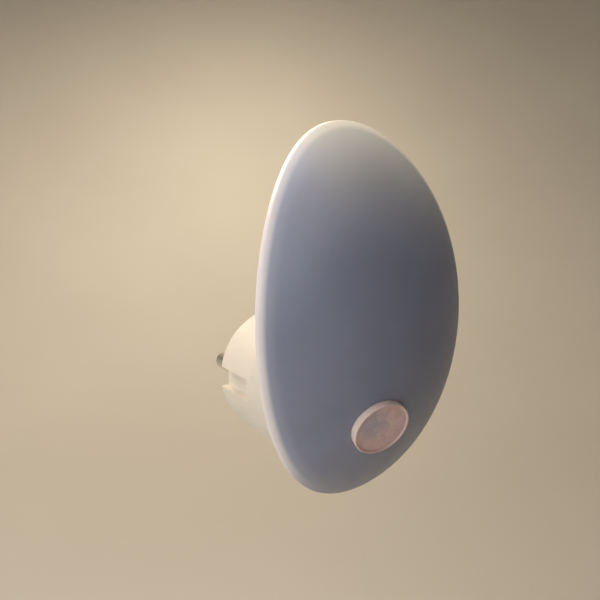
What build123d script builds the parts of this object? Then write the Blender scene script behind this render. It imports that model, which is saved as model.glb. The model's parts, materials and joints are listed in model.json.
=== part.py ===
from build123d import *
import math
import os

# Plug-in night light with an oval front shield, a motion sensor and a rear light window.
# Frame: +Z up, +Y towards the wall, origin at the centre of the plug's pin face. Millimetres.
# Every "reach" below is a distance in front of the pin face, that is along -Y.

# Clearances
FIT_GAP = 0.15          # between moulded pieces that seat in each other
SNUG_GAP = 0.02         # round metal pieces in their holes
THREAD_GAP = 0.02       # a screw in the hole it cuts its thread in
PART_GAP = 0.3          # between pieces that only lie beside each other
BOSS_SINK = 0.3         # how far a boss grows into the wall beside it

# Plug, after the standard 19 mm two-pin contour plug
PIN_SPACING = 19.0
PIN_RADIUS = 2.4
PIN_LENGTH = 19.0
PIN_TIP_ROUND = 1.5
PIN_SHOULDER_RADIUS = 2.8
PIN_ROOT_HEIGHT = 0.3
PIN_COLLAR_RADIUS = 3.6
PIN_COLLAR_HEIGHT = 1.4
PIN_TAIL_RADIUS = 1.1
PLUG_RADIUS = 17.9
PLUG_LENGTH = 20.5
PLUG_FACE = 3.0
PLUG_WALL = 2.3
PLUG_EDGE_ROUND = 1.0
NOTCH_LENGTH = 17.5
NOTCH_WALL = 1.4
SIDE_NOTCH_WIDTH = 5.4
SIDE_NOTCH_DEPTH = 2.6
EARTH_NOTCH_WIDTH = 10.4
EARTH_NOTCH_DEPTH = 3.6
SPIGOT_LENGTH = 3.5

# Rear housing: a tapered neck and a pod behind the shield
NECK_STEP = 0.85
NECK_TAPER = 2.4
HOUSING_WALL = 1.8
POD_SETBACK = 20.8      # from the shield's crown back to the pod's rear face
POD_LOW_RADIUS = 18.2
POD_TOP_RADIUS = 15.0
POD_EDGE_ROUND = 1.0

# Front shield, bent over two arcs
SHIELD_WIDTH = 54.0
SHIELD_HEIGHT = 90.0
SHIELD_RISE = 20.9
SHIELD_REACH = 55.8
SHIELD_BEND_ACROSS = 38.5
SHIELD_BEND_ALONG = 59.0
SHIELD_WALL = 1.6
SHIELD_FRONT_ROUND = 1.2
SHIELD_BACK_ROUND = 0.3

# Motion sensor
LENS_RISE = -2.7
LENS_RADIUS = 7.0
LENS_HEIGHT = 1.1
LENS_WALL = 0.7
LENS_SHOULDER = 0.4
LENS_CROWN = 0.15
LENS_FLANGE_WIDTH = 1.4
LENS_FLANGE_HEIGHT = 0.9
LENS_SEAT_WALL = 1.2
LENS_SEAT_DEPTH = 2.6
SHROUD_WALL = 1.2
CAN_RADIUS = 4.1
CAN_HEIGHT = 4.3
CAN_BRIM_WIDTH = 0.5
CAN_BRIM_HEIGHT = 0.6
CAN_STANDOFF = 0.2
CAN_EDGE_ROUND = 0.3
CAN_WINDOW_WIDTH = 4.0
CAN_WINDOW_HEIGHT = 3.0
CAN_WINDOW_THICKNESS = 0.3
CAN_LEAD_RADIUS = 0.23
CAN_LEAD_CIRCLE = 2.54
CAN_LEAD_TAIL = 1.0
DAYLIGHT_SENSOR_WIDTH = 1.2
DAYLIGHT_SENSOR_HEIGHT = 1.6
DAYLIGHT_SENSOR_THICKNESS = 0.7

# Light window and LEDs
WINDOW_RISE = 35.9
WINDOW_WIDTH = 21.0
WINDOW_HEIGHT = 14.4
WINDOW_CORNER = 5.0
WINDOW_PROUD = 0.7
WINDOW_EDGE_ROUND = 0.6
WINDOW_FLANGE_WIDTH = 1.0
WINDOW_FLANGE_THICKNESS = 1.0
LED_BOARD_WIDTH = 19.0
LED_BOARD_THICKNESS = 1.2
LED_BOARD_CORNER = 3.0
LED_POST_RADIUS = 1.9
LED_POST_HEIGHT = 6.2
LED_BOARD_MARGIN = 2.1
LED_WIDTH = 3.5
LED_HEIGHT = 2.8
LED_THICKNESS = 0.8
LED_SPACING_X = 10.0
LED_SPACING_Z = 8.8
LED_CORNER_ROUND = 0.2
LED_COLUMNS = 2
LED_ROWS = 2

# Control board and its parts
CONTROL_BOARD_GAP = 0.7
CONTROL_BOARD_THICKNESS = 1.4
CONTROL_SCREW_X = 11.3
CONTROL_SCREW_Z = -7.5
CONTROL_BOSS_RADIUS = 2.3
CHIP_WIDTH = 9.9
CHIP_HEIGHT = 3.9
CHIP_THICKNESS = 1.4
CHIP_RISE = -11.2
CHIP_EDGE_ROUND = 0.15
CHIP_LEG_PITCH = 1.27
CHIP_LEGS_PER_SIDE = 7
CHIP_LEG_WIDTH = 0.4
CHIP_LEG_LENGTH = 1.0
CHIP_LEG_THICKNESS = 0.25

# Mode switch
SWITCH_TRAVEL = 2.0
SWITCH_LENGTH = 9.0
SWITCH_DEPTH = 4.3
SWITCH_THICKNESS = 2.6
SWITCH_EDGE_GAP = 0.5
SWITCH_REAR_GAP = 0.2
SWITCH_PIN_RADIUS = 0.35
SWITCH_PIN_PITCH = 2.5
SWITCH_PIN_TAIL = 0.6
STEM_LENGTH = 2.0
STEM_THICKNESS = 1.4
STEM_INSIDE = 1.5
STEM_GAP = 0.15
KNOB_LENGTH = 3.6
KNOB_THICKNESS = 2.4
KNOB_PROUD = 1.2
KNOB_STEM_GAP = 0.05
KNOB_TIP_WALL = 0.8
KNOB_EDGE_ROUND = 0.25
KNOB_GROOVES = 3
KNOB_GROOVE_PITCH = 0.9
KNOB_GROOVE_WIDTH = 0.4
KNOB_GROOVE_DEPTH = 0.3

# Power board and its parts
POWER_BOARD_REACH = 8.0
POWER_BOARD_THICKNESS = 1.5
POWER_POST_RADIUS = 1.8
POWER_SCREW_RISE = 10.3
LEAD_RADIUS = 0.3
LEAD_HOLE_GAP = 0.1
LEAD_TAIL = 1.0
FILM_X = 1.5
FILM_RISE = -5.0
FILM_WIDTH = 12.0
FILM_HEIGHT = 6.0
FILM_LENGTH = 11.0
FILM_LEAD_SPACING = 10.0
FILM_EDGE_ROUND = 0.4
ELECTROLYTIC_X = -5.5
ELECTROLYTIC_RISE = 6.5
ELECTROLYTIC_RADIUS = 4.0
ELECTROLYTIC_LENGTH = 11.5
ELECTROLYTIC_LEAD_SPACING = 3.5
ELECTROLYTIC_EDGE_ROUND = 0.5
ELECTROLYTIC_CRIMP_HEIGHT = 1.8
ELECTROLYTIC_CRIMP_DEPTH = 0.35
ELECTROLYTIC_CRIMP_RADIUS = 0.6
VARISTOR_X = 3.0
VARISTOR_RISE = 3.5
VARISTOR_RADIUS = 3.5
VARISTOR_THICKNESS = 3.4
VARISTOR_LEAD_SPACING = 5.0
VARISTOR_STANDOFF = 0.5
VARISTOR_EDGE_ROUND = 0.8
FUSE_X = 6.5
FUSE_RISE = -10.0
FUSE_RADIUS = 1.2
FUSE_LENGTH = 5.0
FUSE_LEAD_SPACING = 7.0
FUSE_EDGE_ROUND = 0.3
RECTIFIER_WIDTH = 4.8
RECTIFIER_HEIGHT = 3.9
RECTIFIER_THICKNESS = 2.5
RECTIFIER_EDGE_ROUND = 0.3

# Wires
SUPPLY_WIRE_RADIUS = 0.7
SUPPLY_WIRE_X = 11.9
SUPPLY_WIRE_SHIFT = 1.5
SUPPLY_WIRE_RISE = 3.2
SUPPLY_WIRE_BEND = 30.0
SUPPLY_WIRE_RUN = 7.5
LED_WIRE_RADIUS = 0.6
LED_WIRE_X = 4.2
LED_WIRE_ARCH = 2.8
LED_WIRE_BEND = 2.2

# Screws: shank radius, head radius, head height, length under the head
HOUSING_SHANK = 1.2
HOUSING_HEAD = 2.2
HOUSING_HEAD_HEIGHT = 1.4
HOUSING_SCREW_LENGTH = 7.4
HOUSING_BOSS_RADIUS = 2.4
HOUSING_SCREW_RISE = 18.2
HOUSING_POST_HEIGHT = 2.6
BOARD_SHANK = 0.9
BOARD_HEAD = 1.8
BOARD_HEAD_HEIGHT = 1.2
BOARD_SCREW_LENGTH = 4.4
PLUG_SHANK = 1.25
PLUG_HEAD = 2.2
PLUG_HEAD_HEIGHT = 1.6
PLUG_SCREW_LENGTH = 14.0
PLUG_HEAD_REACH = 12.4
PLUG_BOSS_RADIUS = 3.0
HEAD_GAP = 0.2
HEAD_ROUND_SHARE = 0.3  # of a head's height
CROSS_WIDTH = 0.5
CROSS_DEPTH = 0.6

# Derived places: plug and neck
neck_radius = PLUG_RADIUS + NECK_STEP
neck_bore = neck_radius - HOUSING_WALL
plug_cavity = PLUG_RADIUS - PLUG_WALL
spigot_radius = neck_bore - FIT_GAP
spigot_reach = PLUG_LENGTH + SPIGOT_LENGTH
plug_screw_offset = (neck_bore - PLUG_BOSS_RADIUS + BOSS_SINK) / math.sqrt(2)
plug_screw_places = [(plug_screw_offset, plug_screw_offset), (-plug_screw_offset, -plug_screw_offset)]
plug_screw_seat = PLUG_HEAD_REACH + PLUG_HEAD_HEIGHT
power_board_front = POWER_BOARD_REACH + POWER_BOARD_THICKNESS
power_screw_places = [(0, POWER_SCREW_RISE), (0, -POWER_SCREW_RISE)]

# Derived places: pod
pod_reach = SHIELD_REACH - POD_SETBACK
pod_inner_reach = pod_reach + HOUSING_WALL
led_post_offset = WINDOW_HEIGHT / 2 + WINDOW_FLANGE_WIDTH + LED_POST_RADIUS + PART_GAP
led_post_places = [(0, WINDOW_RISE - led_post_offset), (0, WINDOW_RISE + led_post_offset)]
led_board_half = led_post_offset + LED_BOARD_MARGIN
led_board_rear = pod_inner_reach + LED_POST_HEIGHT
led_board_front = led_board_rear + LED_BOARD_THICKNESS
top_screw_rise = WINDOW_RISE + led_board_half + PART_GAP + HOUSING_BOSS_RADIUS
pod_rise = top_screw_rise + HOUSING_BOSS_RADIUS - BOSS_SINK + HOUSING_WALL - POD_TOP_RADIUS
control_board_rear = pod_inner_reach + SWITCH_REAR_GAP + SWITCH_THICKNESS
control_board_front = control_board_rear + CONTROL_BOARD_THICKNESS
control_board_radius = POD_LOW_RADIUS - HOUSING_WALL - CONTROL_BOARD_GAP
housing_joint_reach = pod_inner_reach + HOUSING_POST_HEIGHT
housing_screw_seat = pod_reach + HOUSING_HEAD_HEIGHT + HEAD_GAP
control_screw_places = [(CONTROL_SCREW_X, CONTROL_SCREW_Z), (-CONTROL_SCREW_X, CONTROL_SCREW_Z)]

# Derived places: sensor and its lens, square to the shield where the lens sits
lens_tilt = math.asin((SHIELD_RISE - LENS_RISE) / SHIELD_BEND_ALONG)
lens_reach = SHIELD_REACH - SHIELD_BEND_ALONG * (1 - math.cos(lens_tilt))
lens_plane = Plane(
    origin=(0, -lens_reach, LENS_RISE),
    x_dir=(1, 0, 0),
    z_dir=(0, -math.cos(lens_tilt), -math.sin(lens_tilt)),
)
flange_radius = LENS_RADIUS + LENS_FLANGE_WIDTH
shroud_depth = LENS_SEAT_DEPTH + LENS_FLANGE_HEIGHT
shroud_rise = LENS_RISE + (lens_reach - control_board_front) * math.tan(lens_tilt)
can_rise = shroud_rise - CAN_HEIGHT / 2 * math.tan(lens_tilt)
led_wire_rise = shroud_rise + flange_radius / math.cos(lens_tilt) + LED_WIRE_RADIUS + PART_GAP
control_board_top = led_wire_rise + LED_WIRE_RADIUS + PART_GAP

# Derived places: mode switch
switch_outer = control_board_radius - SWITCH_EDGE_GAP
switch_reach = control_board_rear - SWITCH_THICKNESS / 2
knob_inner = control_board_radius + PART_GAP
knob_outer = POD_LOW_RADIUS + KNOB_PROUD
slot_length = KNOB_LENGTH + 2 * SWITCH_TRAVEL + 2 * PART_GAP
slot_thickness = KNOB_THICKNESS + 2 * PART_GAP


def slab(sketch, start, end):
    """A front-view sketch made solid between two reaches."""
    return extrude(Plane.XZ.offset(start) * sketch, amount=end - start)


def rod(x, z, radius, start, end):
    """A round bar along the plug's axis."""
    return slab(Pos(x, z) * Circle(radius), start, end)


def rods(places, radius, start, end):
    """Equal round bars at several places, as one group."""
    return Part() + [rod(x, z, radius, start, end) for x, z in places]


def block(x, z, width, height, start, end):
    """A rectangular bar along the plug's axis."""
    return slab(Pos(x, z) * Rectangle(width, height), start, end)


def lens_rod(radius, start, end):
    """A round bar along the lens axis, measured outwards from the shield's face."""
    return extrude(lens_plane.offset(start) * Circle(radius), amount=end - start)


def frustum(start_radius, end_radius, start, end):
    """A tapered bar along the plug's axis."""
    cone = Cone(start_radius, end_radius, end - start, align=(Align.CENTER, Align.CENTER, Align.MIN))
    return Plane.XZ.offset(start) * cone


def screw(x, z, seat, way, shank, head, head_height, length):
    """A pan-head screw. The head sits on its seat, and the shank points forward (way 1) or back (-1)."""
    head_top = seat - way * head_height
    body = rod(x, z, head, min(seat, head_top), max(seat, head_top))
    rim = body.edges().filter_by(GeomType.CIRCLE).sort_by(Axis.Y)
    body = fillet(rim[-1] if way > 0 else rim[0], HEAD_ROUND_SHARE * head_height)
    tip = seat + way * length
    body += rod(x, z, shank, min(seat, tip), max(seat, tip))
    cross_floor = head_top + way * CROSS_DEPTH
    for width, height in ((2 * shank, CROSS_WIDTH), (CROSS_WIDTH, 2 * shank)):
        body -= block(x, z, width, height, min(head_top, cross_floor), max(head_top, cross_floor))
    return body


def dome_axis_reach():
    """Reach of the level axis that the shield's cross arc is swept about."""
    return SHIELD_REACH - SHIELD_BEND_ALONG


def dome_reach(x, z, inset):
    """Reach of the shield's front surface, or of a surface inset from it, at one place."""
    across = SHIELD_BEND_ACROSS - inset
    arm = SHIELD_BEND_ALONG - SHIELD_BEND_ACROSS + math.sqrt(across ** 2 - x ** 2)
    return dome_axis_reach() + math.sqrt(arm ** 2 - (z - SHIELD_RISE) ** 2)


def dome(inset):
    """Everything behind the shield's front surface, or behind a surface inset from it."""
    half_width = SHIELD_WIDTH / 2 + SHIELD_WALL
    core_radius = SHIELD_BEND_ALONG / 5
    half_height = SHIELD_HEIGHT / 2 + 2 * SHIELD_WALL
    half_sweep = math.degrees(math.asin(half_height / (SHIELD_BEND_ALONG - SHIELD_WALL)))
    axis_y = -dome_axis_reach()
    side_y = -dome_reach(half_width, SHIELD_RISE, inset)
    crown = (0, -dome_reach(0, SHIELD_RISE, inset))
    arc = ThreePointArc((-half_width, side_y), crown, (half_width, side_y))
    core_y = axis_y - core_radius
    back = Polyline((half_width, side_y), (half_width, core_y), (-half_width, core_y), (-half_width, side_y))
    section = Plane.XY.offset(SHIELD_RISE) * make_face(Curve() + [arc, back])
    axis = Axis((0, axis_y, SHIELD_RISE), (1, 0, 0))
    return revolve(section.rotate(axis, -half_sweep), axis, 2 * half_sweep)


def pod_outline(inset):
    """Front-view outline of the pod: a large lower circle and a smaller upper one, joined by tangents."""
    lower = Circle(POD_LOW_RADIUS - inset)
    upper = Pos(0, pod_rise) * Circle(POD_TOP_RADIUS - inset)
    return make_hull(lower.edges() + upper.edges())


def pod_half_width(z):
    """Half-width of the pod's straight flank at a height between its two circles."""
    slope = math.asin((POD_LOW_RADIUS - POD_TOP_RADIUS) / pod_rise)
    return (POD_LOW_RADIUS - z * math.sin(slope)) / math.cos(slope)


def housing_screw_places():
    """Two screws beside the neck, tucked against the pod's flanks, and one at the pod's top."""
    x = pod_half_width(HOUSING_SCREW_RISE) - HOUSING_WALL - HOUSING_BOSS_RADIUS + BOSS_SINK
    return [(x, HOUSING_SCREW_RISE), (-x, HOUSING_SCREW_RISE), (0, top_screw_rise)]


def front_shield():
    """The oval shield, with the lens seat and the bosses behind it."""
    outline = Pos(0, SHIELD_RISE) * Ellipse(SHIELD_WIDTH / 2, SHIELD_HEIGHT / 2)
    rim_reach = dome_reach(0, SHIELD_RISE + SHIELD_HEIGHT / 2, SHIELD_WALL)
    shell = slab(outline, rim_reach - SHIELD_WALL, SHIELD_REACH + SHIELD_WALL) & dome(0)
    shell -= dome(SHIELD_WALL)
    # The front and back rims are the two longest edges, and the front one reaches further forward.
    rims = shell.edges().sort_by(SortBy.LENGTH)[-2:]
    shell = fillet(rims.sort_by(lambda edge: edge.bounding_box().min.Y)[:1], SHIELD_FRONT_ROUND)
    back_rim = shell.edges().sort_by(lambda edge: edge.bounding_box().max.Y)[-1:]
    shell = fillet(back_rim, SHIELD_BACK_ROUND)
    boss_radius = HOUSING_BOSS_RADIUS - BOSS_SINK - FIT_GAP
    bosses = rods(housing_screw_places(), boss_radius, housing_joint_reach, SHIELD_REACH)
    bosses += rods(control_screw_places, CONTROL_BOSS_RADIUS, control_board_front, SHIELD_REACH)
    seat_radius = flange_radius + FIT_GAP + LENS_SEAT_WALL
    bosses += lens_rod(seat_radius, -shroud_depth, LENS_HEIGHT)
    shell += bosses & dome(SHIELD_WALL / 2)
    shell -= lens_rod(LENS_RADIUS + FIT_GAP, -2 * shroud_depth, LENS_HEIGHT)
    shell -= lens_rod(flange_radius + FIT_GAP, -2 * shroud_depth, -LENS_SEAT_DEPTH)
    housing_tip = housing_screw_seat + HOUSING_SCREW_LENGTH + HEAD_GAP
    shell -= rods(housing_screw_places(), HOUSING_SHANK + THREAD_GAP, housing_joint_reach, housing_tip)
    control_tip = control_board_rear + BOARD_SCREW_LENGTH + HEAD_GAP
    shell -= rods(control_screw_places, BOARD_SHANK + THREAD_GAP, control_board_front, control_tip)
    return shell


def rear_housing():
    """The neck and the pod in one moulding, open to the front and to the plug base."""
    pod = slab(pod_outline(0), pod_reach, SHIELD_REACH)
    pod = fillet(pod.faces().sort_by(Axis.Y)[-1].edges(), POD_EDGE_ROUND)
    neck_front = neck_radius - NECK_TAPER
    body = pod + frustum(neck_radius, neck_front, PLUG_LENGTH, pod_inner_reach)
    body = body & (dome(SHIELD_WALL + FIT_GAP) + rod(0, 0, neck_radius, 0, pod_reach))
    body -= slab(pod_outline(HOUSING_WALL), pod_inner_reach, SHIELD_REACH)
    body -= frustum(neck_bore, neck_front - HOUSING_WALL, PLUG_LENGTH, pod_inner_reach)
    plug_bosses = rods(plug_screw_places, PLUG_BOSS_RADIUS, spigot_reach, pod_reach)
    body += plug_bosses & frustum(neck_radius, neck_front, PLUG_LENGTH, pod_inner_reach)
    body -= rod(0, 0, neck_bore, PLUG_LENGTH, spigot_reach + FIT_GAP)
    post_root = pod_reach + HOUSING_WALL / 2
    body += rods(housing_screw_places(), HOUSING_BOSS_RADIUS, post_root, housing_joint_reach)
    body += rods(led_post_places, LED_POST_RADIUS, post_root, led_board_rear)
    window = Pos(0, WINDOW_RISE) * RectangleRounded(WINDOW_WIDTH, WINDOW_HEIGHT, WINDOW_CORNER)
    body -= slab(window, pod_reach - HOUSING_WALL, pod_inner_reach)
    head_radius = HOUSING_HEAD + HEAD_GAP
    body -= rods(housing_screw_places(), head_radius, pod_reach - HOUSING_WALL, housing_screw_seat)
    body -= rods(housing_screw_places(), HOUSING_SHANK + THREAD_GAP, housing_screw_seat, housing_joint_reach)
    led_pilot = led_board_front - BOARD_SCREW_LENGTH - HEAD_GAP
    body -= rods(led_post_places, BOARD_SHANK + THREAD_GAP, led_pilot, led_board_rear)
    plug_tip = plug_screw_seat + PLUG_SCREW_LENGTH + HEAD_GAP
    body -= rods(plug_screw_places, PLUG_SHANK + THREAD_GAP, spigot_reach, plug_tip)
    slot_middle = (knob_inner + knob_outer) / 2
    slot_span = knob_outer - knob_inner + HOUSING_WALL
    slot_start = switch_reach - slot_thickness / 2
    body -= block(slot_middle, 0, slot_span, slot_length, slot_start, slot_start + slot_thickness)
    return body


def cavity_outline(inset):
    """Front-view outline of the plug base's hollow, clear of the notches that the socket's parts enter."""
    side = PLUG_RADIUS - SIDE_NOTCH_DEPTH - NOTCH_WALL
    earth = PLUG_RADIUS - EARTH_NOTCH_DEPTH - NOTCH_WALL
    wall = 2 * (NOTCH_WALL + inset)
    side_depth = PLUG_WALL + SIDE_NOTCH_DEPTH
    earth_depth = PLUG_WALL + EARTH_NOTCH_DEPTH
    outline = Circle(plug_cavity - inset)
    for sign in (-1, 1):
        side_wall = Rectangle(2 * side_depth, SIDE_NOTCH_WIDTH + wall)
        outline -= Pos(sign * (side - inset + side_depth), 0) * side_wall
        earth_wall = Rectangle(EARTH_NOTCH_WIDTH + wall, 2 * earth_depth)
        outline -= Pos(0, sign * (earth - inset + earth_depth)) * earth_wall
    return outline


def plug_base():
    """The cup that fills the socket's recess and carries the pins and the power board."""
    cup = rod(0, 0, PLUG_RADIUS, 0, PLUG_LENGTH)
    cup = fillet(cup.edges().filter_by(GeomType.CIRCLE).sort_by(Axis.Y)[-1], PLUG_EDGE_ROUND)
    cup += rod(0, 0, spigot_radius, PLUG_LENGTH, spigot_reach)
    cup -= slab(cavity_outline(0), PLUG_FACE, NOTCH_LENGTH + NOTCH_WALL)
    cup -= rod(0, 0, plug_cavity, NOTCH_LENGTH + NOTCH_WALL, spigot_reach)
    tubes = rods(plug_screw_places, PLUG_BOSS_RADIUS + BOSS_SINK, PLUG_FACE, spigot_reach)
    cup += tubes & rod(0, 0, spigot_radius, 0, spigot_reach)
    cup += rods(power_screw_places, POWER_POST_RADIUS, PLUG_FACE, POWER_BOARD_REACH)
    for sign in (-1, 1):
        cup -= block(sign * PLUG_RADIUS, 0, 2 * SIDE_NOTCH_DEPTH, SIDE_NOTCH_WIDTH, 0, NOTCH_LENGTH)
        cup -= block(0, sign * PLUG_RADIUS, EARTH_NOTCH_WIDTH, 2 * EARTH_NOTCH_DEPTH, 0, NOTCH_LENGTH)
        cup -= rod(sign * PIN_SPACING / 2, 0, PIN_SHOULDER_RADIUS + SNUG_GAP, 0, PLUG_FACE)
    cup -= rods(plug_screw_places, PLUG_HEAD + HEAD_GAP, 0, plug_screw_seat)
    cup -= rods(plug_screw_places, PLUG_SHANK + THREAD_GAP, plug_screw_seat, spigot_reach)
    pilot = power_board_front - BOARD_SCREW_LENGTH - HEAD_GAP
    cup -= rods(power_screw_places, BOARD_SHANK + THREAD_GAP, pilot, POWER_BOARD_REACH)
    return cup


def contact_pin(side):
    """A round contact pin: coned root, shoulder in the face, collar behind it and tail to the board."""
    x = side * PIN_SPACING / 2
    pin = rod(x, 0, PIN_RADIUS, -PIN_LENGTH, 0)
    pin = fillet(pin.edges().filter_by(GeomType.CIRCLE).sort_by(Axis.Y)[-1], PIN_TIP_ROUND)
    pin += Pos(x, 0, 0) * frustum(PIN_RADIUS, PIN_SHOULDER_RADIUS, -PIN_ROOT_HEIGHT, 0)
    pin += rod(x, 0, PIN_SHOULDER_RADIUS, 0, PLUG_FACE)
    pin += rod(x, 0, PIN_COLLAR_RADIUS, PLUG_FACE, PLUG_FACE + PIN_COLLAR_HEIGHT)
    return pin + rod(x, 0, PIN_TAIL_RADIUS, PLUG_FACE, power_board_front + LEAD_TAIL)


def lead_places():
    """Where each wired part of the power board sends its two leads through the board."""
    places = []
    for x, z, spacing in (
        (FILM_X, FILM_RISE, FILM_LEAD_SPACING),
        (ELECTROLYTIC_X, ELECTROLYTIC_RISE, ELECTROLYTIC_LEAD_SPACING),
        (VARISTOR_X, VARISTOR_RISE, VARISTOR_LEAD_SPACING),
        (FUSE_X, FUSE_RISE, FUSE_LEAD_SPACING),
    ):
        places += [(x - spacing / 2, z), (x + spacing / 2, z)]
    return places


def leads(x, z, spacing, end):
    """A part's two leads, from behind the power board to the part."""
    return rods([(x - spacing / 2, z), (x + spacing / 2, z)], LEAD_RADIUS, POWER_BOARD_REACH - LEAD_TAIL, end)


def power_board():
    """The mains board, cut out round the screw tubes."""
    outline = cavity_outline(PART_GAP)
    board = slab(outline, POWER_BOARD_REACH, power_board_front)
    tube_room = PLUG_BOSS_RADIUS + BOSS_SINK + PART_GAP
    board -= rods(plug_screw_places, tube_room, POWER_BOARD_REACH, power_board_front)
    tails = [(-PIN_SPACING / 2, 0), (PIN_SPACING / 2, 0)]
    board -= rods(tails, PIN_TAIL_RADIUS + SNUG_GAP, POWER_BOARD_REACH, power_board_front)
    board -= rods(power_screw_places, BOARD_SHANK + LEAD_HOLE_GAP, POWER_BOARD_REACH, power_board_front)
    return board - rods(lead_places(), LEAD_RADIUS + LEAD_HOLE_GAP, POWER_BOARD_REACH, power_board_front)


def film_capacitor():
    """The boxed capacitor that drops the mains voltage."""
    top = power_board_front + FILM_LENGTH
    box = block(FILM_X, FILM_RISE, FILM_WIDTH, FILM_HEIGHT, power_board_front, top)
    box = fillet(box.edges(), FILM_EDGE_ROUND)
    return box + leads(FILM_X, FILM_RISE, FILM_LEAD_SPACING, power_board_front + FILM_HEIGHT / 2)


def electrolytic_capacitor():
    """The round capacitor that smooths the supply, with the crimp groove near its base."""
    top = power_board_front + ELECTROLYTIC_LENGTH
    can = rod(ELECTROLYTIC_X, ELECTROLYTIC_RISE, ELECTROLYTIC_RADIUS, power_board_front, top)
    can = fillet(can.edges().filter_by(GeomType.CIRCLE), ELECTROLYTIC_EDGE_ROUND)
    crimp_centre = ELECTROLYTIC_RADIUS + ELECTROLYTIC_CRIMP_RADIUS - ELECTROLYTIC_CRIMP_DEPTH
    crimp = Torus(crimp_centre, ELECTROLYTIC_CRIMP_RADIUS)
    crimp_reach = power_board_front + ELECTROLYTIC_CRIMP_HEIGHT
    can -= Plane.XZ.offset(crimp_reach) * Pos(ELECTROLYTIC_X, ELECTROLYTIC_RISE) * crimp
    return can + leads(ELECTROLYTIC_X, ELECTROLYTIC_RISE, ELECTROLYTIC_LEAD_SPACING, crimp_reach)


def surge_varistor():
    """The disc that clips surges, standing on its leads."""
    middle = power_board_front + VARISTOR_STANDOFF + VARISTOR_RADIUS
    disc = Cylinder(VARISTOR_RADIUS, VARISTOR_THICKNESS)
    disc = fillet(disc.edges().filter_by(GeomType.CIRCLE), VARISTOR_EDGE_ROUND)
    disc = Pos(VARISTOR_X, -middle, VARISTOR_RISE) * disc
    return disc + leads(VARISTOR_X, VARISTOR_RISE, VARISTOR_LEAD_SPACING, middle)


def fuse_resistor():
    """The fusible resistor, lying on the board with its leads bent down."""
    middle = power_board_front + FUSE_RADIUS
    body = Rot(0, 90, 0) * Cylinder(FUSE_RADIUS, FUSE_LENGTH)
    body = fillet(body.edges().filter_by(GeomType.CIRCLE), FUSE_EDGE_ROUND)
    body += Rot(0, 90, 0) * Cylinder(LEAD_RADIUS, FUSE_LEAD_SPACING)
    body = Pos(FUSE_X, -middle, FUSE_RISE) * body
    return body + leads(FUSE_X, FUSE_RISE, FUSE_LEAD_SPACING, middle + LEAD_RADIUS)


def bridge_rectifier():
    """The rectifier on the power board's back."""
    start = POWER_BOARD_REACH - RECTIFIER_THICKNESS
    case = block(0, 0, RECTIFIER_WIDTH, RECTIFIER_HEIGHT, start, POWER_BOARD_REACH)
    return fillet(case.edges(), RECTIFIER_EDGE_ROUND)


def wire(points, radius, bend):
    """A wire along straight runs joined by arcs. Points are (x, reach, z)."""
    path = FilletPolyline(*[(x, -reach, z) for x, reach, z in points], radius=bend)
    start = Plane(origin=path @ 0, z_dir=path % 0)
    return sweep(start * Circle(radius), path=path)


def supply_wires():
    """The two wires from the power board to the control board."""
    wires = Part()
    near_x = -SUPPLY_WIRE_X
    far_x = near_x + SUPPLY_WIRE_SHIFT
    for z in (-SUPPLY_WIRE_RISE, SUPPLY_WIRE_RISE):
        wires += wire(
            [
                (near_x, power_board_front, z),
                (near_x, power_board_front + SUPPLY_WIRE_RUN, z),
                (far_x, control_board_rear - SUPPLY_WIRE_RUN, z),
                (far_x, control_board_rear, z),
            ],
            SUPPLY_WIRE_RADIUS,
            SUPPLY_WIRE_BEND,
        )
    return wires


def led_wires():
    """The two wires that arch from the control board up to the LED board."""
    wires = Part()
    arch_reach = led_board_front + LED_WIRE_ARCH
    end_rise = WINDOW_RISE - led_post_offset
    for x in (-LED_WIRE_X, LED_WIRE_X):
        wires += wire(
            [
                (x, control_board_front, led_wire_rise),
                (x, arch_reach, led_wire_rise),
                (x, arch_reach, end_rise),
                (x, led_board_front, end_rise),
            ],
            LED_WIRE_RADIUS,
            LED_WIRE_BEND,
        )
    return wires


def can_lead_places():
    """Three leads on the sensor can's circle, a quarter turn apart."""
    turns = [math.radians(angle) for angle in (180, 270, 0)]
    return [(CAN_LEAD_CIRCLE * math.cos(a), can_rise + CAN_LEAD_CIRCLE * math.sin(a)) for a in turns]


def switch_pin_places():
    """The switch's three solder pins."""
    x = switch_outer - SWITCH_DEPTH / 2
    return [(x, step * SWITCH_PIN_PITCH) for step in (-1, 0, 1)]


def control_board():
    """The round board with a flat top that carries the sensor, the chip and the mode switch."""
    cut_height = control_board_radius
    outline = Circle(control_board_radius)
    outline -= Pos(0, control_board_top + cut_height / 2) * Rectangle(2 * control_board_radius, cut_height)
    board = slab(outline, control_board_rear, control_board_front)
    for places, radius in (
        (control_screw_places, BOARD_SHANK),
        (can_lead_places(), CAN_LEAD_RADIUS),
        (switch_pin_places(), SWITCH_PIN_RADIUS),
    ):
        board -= rods(places, radius + LEAD_HOLE_GAP, control_board_rear, control_board_front)
    return board


def control_chip():
    """The moulded body of the control chip."""
    start = control_board_front + CHIP_LEG_THICKNESS
    body = block(0, CHIP_RISE, CHIP_WIDTH, CHIP_HEIGHT, start, start + CHIP_THICKNESS)
    return fillet(body.edges(), CHIP_EDGE_ROUND)


def chip_legs():
    """The chip's legs, lying on the board along its two long sides and under its body."""
    legs = Part()
    reach = CHIP_HEIGHT / 2
    for index in range(CHIP_LEGS_PER_SIDE):
        x = (index - (CHIP_LEGS_PER_SIDE - 1) / 2) * CHIP_LEG_PITCH
        for side in (-1, 1):
            z = CHIP_RISE + side * reach
            legs += block(x, z, CHIP_LEG_WIDTH, CHIP_LEG_LENGTH, control_board_front,
                          control_board_front + CHIP_LEG_THICKNESS)
    return legs


def can_base_reach():
    """Reach of the sensor can's base."""
    return control_board_front + CAN_STANDOFF


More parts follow.
